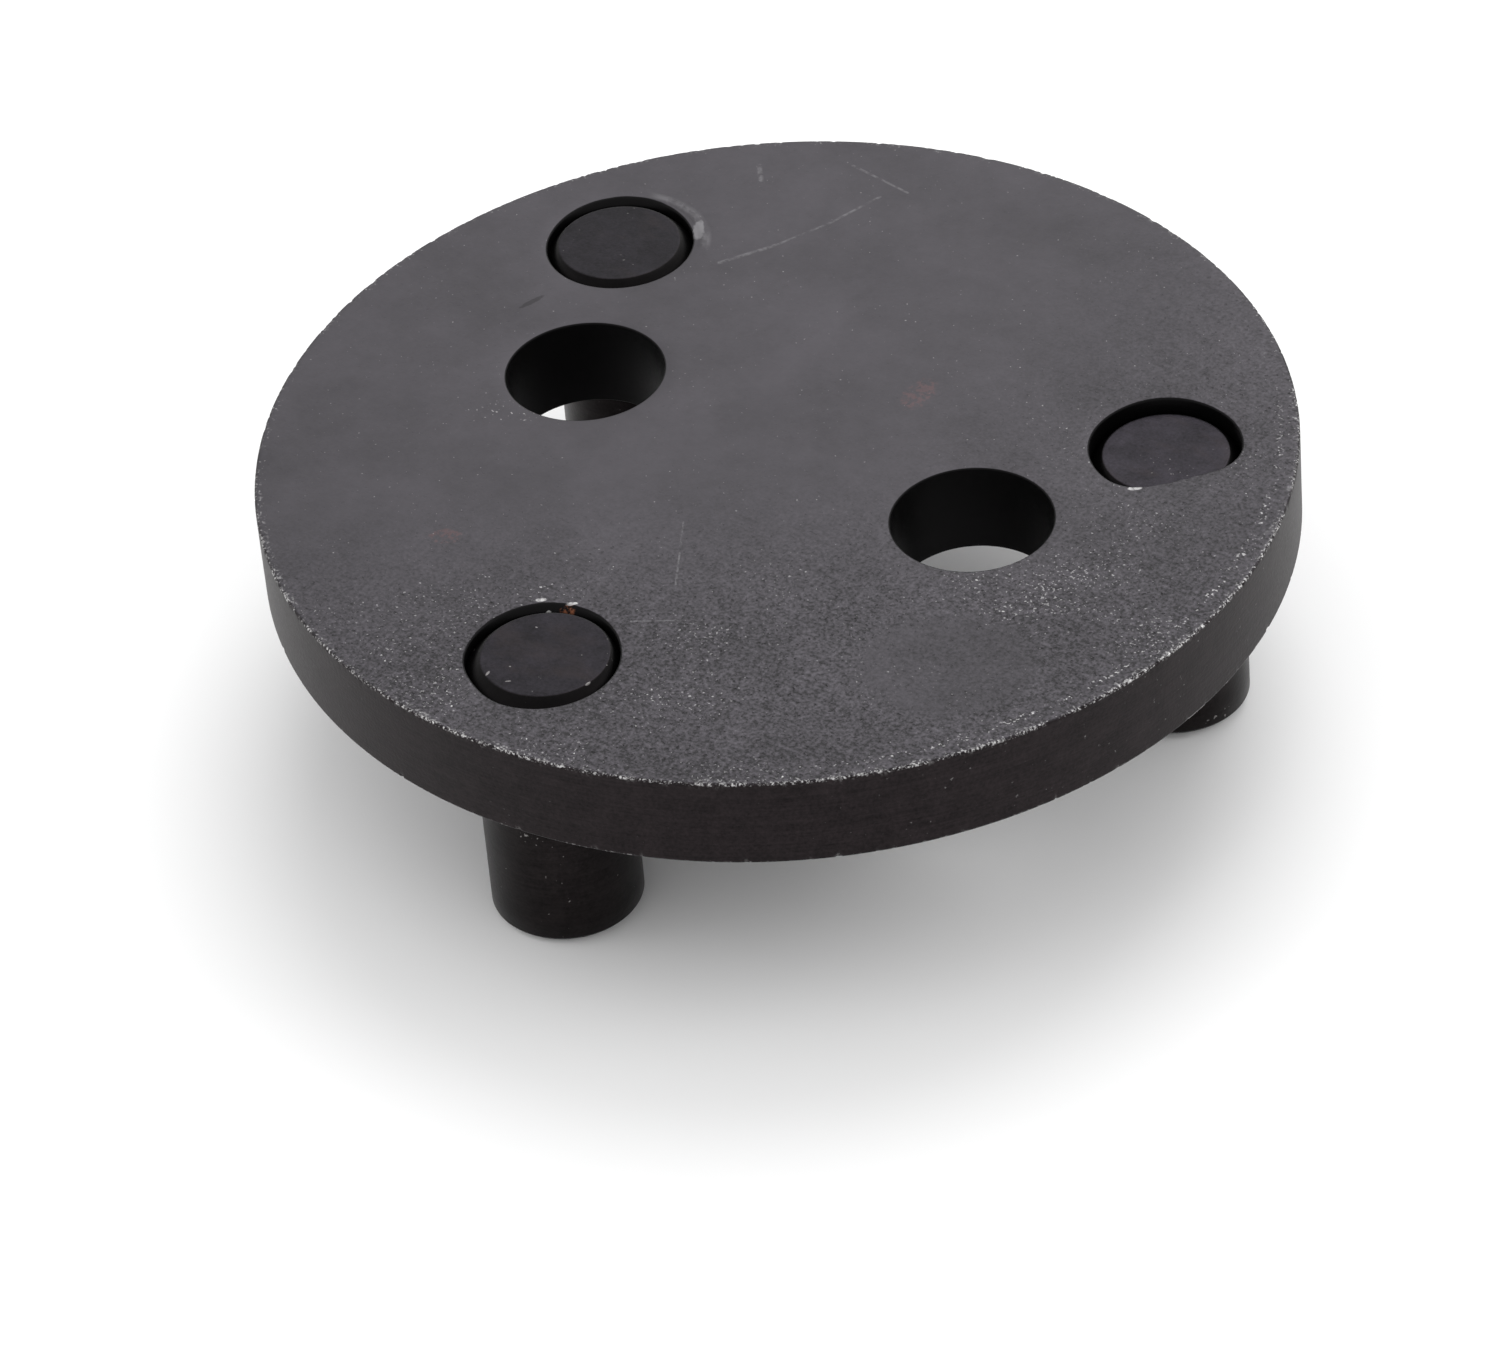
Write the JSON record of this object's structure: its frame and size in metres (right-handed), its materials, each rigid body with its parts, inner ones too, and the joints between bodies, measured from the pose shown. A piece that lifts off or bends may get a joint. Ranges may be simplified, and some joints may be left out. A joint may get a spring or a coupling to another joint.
{
  "type": "drive pin plate",
  "caption": "Flat round blackened steel plate with plain bolt holes and dowel pins pressed through it, standing out of the underside.",
  "frame": {"origin": "on the plate's axis, level with the lowest pin tip", "axes": "+Z is the plate's axis, from the pin tips towards the plain top face; X runs through both bolt holes; drive_pin_2 is towards -Y"},
  "size_m": [0.055, 0.055, 0.0166],
  "materials": {
    "plate_steel": "blackened, satin, with bright worn rims",
    "pin_steel": "oiled black, semi-matte"
  },
  "bodies": {
    "root": {"plate": "plate_steel", "drive_pin_1": "pin_steel", "drive_pin_2": "pin_steel", "drive_pin_3": "pin_steel"}
  },
  "joints": []
}
